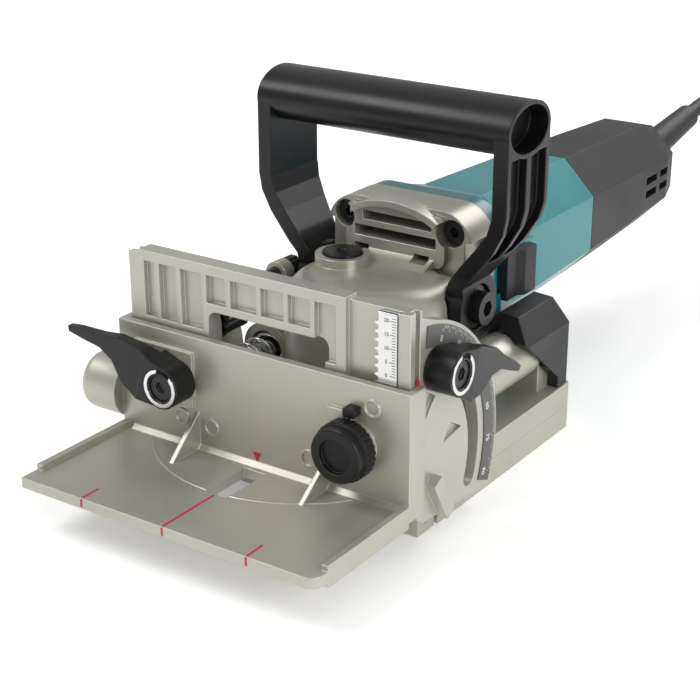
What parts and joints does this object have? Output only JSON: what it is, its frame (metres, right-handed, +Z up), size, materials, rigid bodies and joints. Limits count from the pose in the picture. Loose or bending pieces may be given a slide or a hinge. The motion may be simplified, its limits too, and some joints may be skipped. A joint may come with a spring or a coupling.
{
  "type": "biscuit joiner",
  "caption": "Corded biscuit joiner: flat base with plunging saw blade, sliding motor unit with bail handle, tilting angle guide and height-adjustable fence with clamp levers.",
  "frame": {"origin": "on the flat sole of the base, straight below the blade spindle with the motor unit drawn back", "axes": "+Z up away from the sole, -Y the plunge direction towards the fence, +X to the right seen from the fence end looking along +Y, X = 0 the middle plane"},
  "size_m": [0.2035, 0.712, 0.147],
  "materials": {
    "cast_silver": "satin champagne-silver painted die casting",
    "panel_silver": "satin silver painted die casting",
    "teal_plastic": "semi-gloss moulded plastic",
    "charcoal_plastic": "fine-grained matte moulded plastic",
    "black_plastic": "satin moulded plastic",
    "black_steel": "black oxide finished steel",
    "bright_steel": "ground bright steel",
    "blade_steel": "ground saw blade with brazed tips",
    "copper": "enamelled copper and brass",
    "core_steel": "stacked steel laminations",
    "label_white": "printed scale label",
    "label_dark": "printed scale label",
    "rubber_black": "soft moulded rubber"
  },
  "bodies": {
    "base": {"base_frame": "cast_silver", "guide_rods": "bright_steel", "return_springs": "bright_steel", "dust_nozzle": "charcoal_plastic", "nozzle_screw": "black_steel", "pivot_pins": "bright_steel", "cover_pins": "bright_steel", "grip_tips": "black_steel", "guide_bolt": "black_steel", "clamp_stud": "black_steel", "turret_screw": "black_steel"},
    "cover": {"blade_cover": "cast_silver"},
    "cover_knob": {"cover_screw": "black_steel"},
    "turret": {"stop_turret": "black_plastic"},
    "motor_unit": {"gear_housing": "cast_silver", "flange_screws": "black_steel", "bearing_cover": "bright_steel", "spindle_bearing": "bright_steel", "shaft_bearings": "bright_steel", "motor_housing": "teal_plastic", "rear_housing": "charcoal_plastic", "stator": "copper", "brush_holders": "black_plastic", "switch_unit": "black_plastic", "cord_guard": "rubber_black", "handle": "black_plastic", "handle_bolts": "black_steel", "handle_washers": "black_steel", "stop_screw": "black_steel", "power_cord": "rubber_black", "cord_coil": "rubber_black", "cord_tail": "rubber_black", "plug": "rubber_black"},
    "switch": {"slide_switch": "charcoal_plastic"},
    "lock_button": {"shaft_lock": "black_plastic"},
    "spindle_set": {"spindle": "bright_steel", "bevel_gear": "bright_steel", "inner_flange": "bright_steel", "blade": "blade_steel", "lock_nut": "bright_steel"},
    "armature": {"armature_shaft": "bright_steel", "pinion": "bright_steel", "armature_core": "core_steel", "commutator": "copper", "fan": "black_plastic"},
    "guide": {"angle_guide": "panel_silver", "height_scale": "label_white", "height_rack": "bright_steel", "angle_scale": "label_dark"},
    "fence_unit": {"fence": "cast_silver", "fence_stud": "black_steel", "knob_clip": "black_plastic"},
    "fence_clamp": {"fence_lever": "black_plastic", "fence_lever_ring": "bright_steel"},
    "guide_clamp": {"angle_lever": "black_plastic", "angle_lever_ring": "bright_steel"},
    "knob": {"height_knob": "black_plastic", "knob_shaft": "bright_steel"}
  },
  "joints": [
    {"name": "plunge", "type": "slide", "parent": "base", "child": "motor_unit", "axis": [0, -1, 0], "range_m": [0, 0.023], "stiffness_N_per_m": 400, "springref_m": -0.01, "deforming": ["return_springs"]},
    {"name": "cover_hinge", "type": "hinge", "parent": "base", "child": "cover", "pos_m": [0, -0.047, 0.0055], "axis": [-1, 0, 0], "range_deg": [0, 70]},
    {"name": "cover_screw_turn", "type": "hinge", "parent": "cover", "child": "cover_knob", "pos_m": [0, 0.068, 0.002], "axis": [0, 0, 1], "range_deg": [0, 360]},
    {"name": "turret_turn", "type": "hinge", "parent": "base", "child": "turret", "pos_m": [-0.044, -0.0444, 0.061], "axis": [0, -1, 0], "range_deg": [0, 300]},
    {"name": "switch_slide", "type": "slide", "parent": "motor_unit", "child": "switch", "axis": [0, -1, 0], "range_m": [0, 0.0045]},
    {"name": "lock_press", "type": "slide", "parent": "motor_unit", "child": "lock_button", "axis": [0, 0, -1], "range_m": [0, 0.003], "stiffness_N_per_m": 600, "springref_m": -0.001},
    {"name": "armature_spin", "type": "hinge", "parent": "motor_unit", "child": "armature", "pos_m": [0, 0.08, 0.0645], "axis": [0, 1, 0], "continuous": true},
    {"name": "spindle_spin", "type": "hinge", "parent": "motor_unit", "child": "spindle_set", "pos_m": [0, 0, 0.03], "axis": [0, 0, 1], "continuous": true},
    {"name": "guide_tilt", "type": "hinge", "parent": "base", "child": "guide", "pos_m": [0, -0.0646, 0.0302], "axis": [1, 0, 0], "range_deg": [0, 90]},
    {"name": "fence_height", "type": "slide", "parent": "guide", "child": "fence_unit", "axis": [0, 0, 1], "range_m": [0, 0.038]},
    {"name": "fence_clamp_turn", "type": "hinge", "parent": "fence_unit", "child": "fence_clamp", "pos_m": [-0.0355, -0.08, 0.0484], "axis": [0, 1, 0], "range_deg": [0, 60]},
    {"name": "knob_turn", "type": "hinge", "parent": "fence_unit", "child": "knob", "pos_m": [0.0425, -0.08, 0.0423], "axis": [0, 1, 0], "range_deg": [0, 363]},
    {"name": "guide_clamp_turn", "type": "hinge", "parent": "base", "child": "guide_clamp", "pos_m": [0.0685, -0.05208, 0.06872], "axis": [-1, 0, 0], "range_deg": [0, 55]}
  ],
  "couplings": [
    {"joint": "spindle_spin", "follows": "armature_spin", "ratio": 0.2973},
    {"joint": "knob_turn", "follows": "fence_height", "rad_per_m": 166.67}
  ]
}
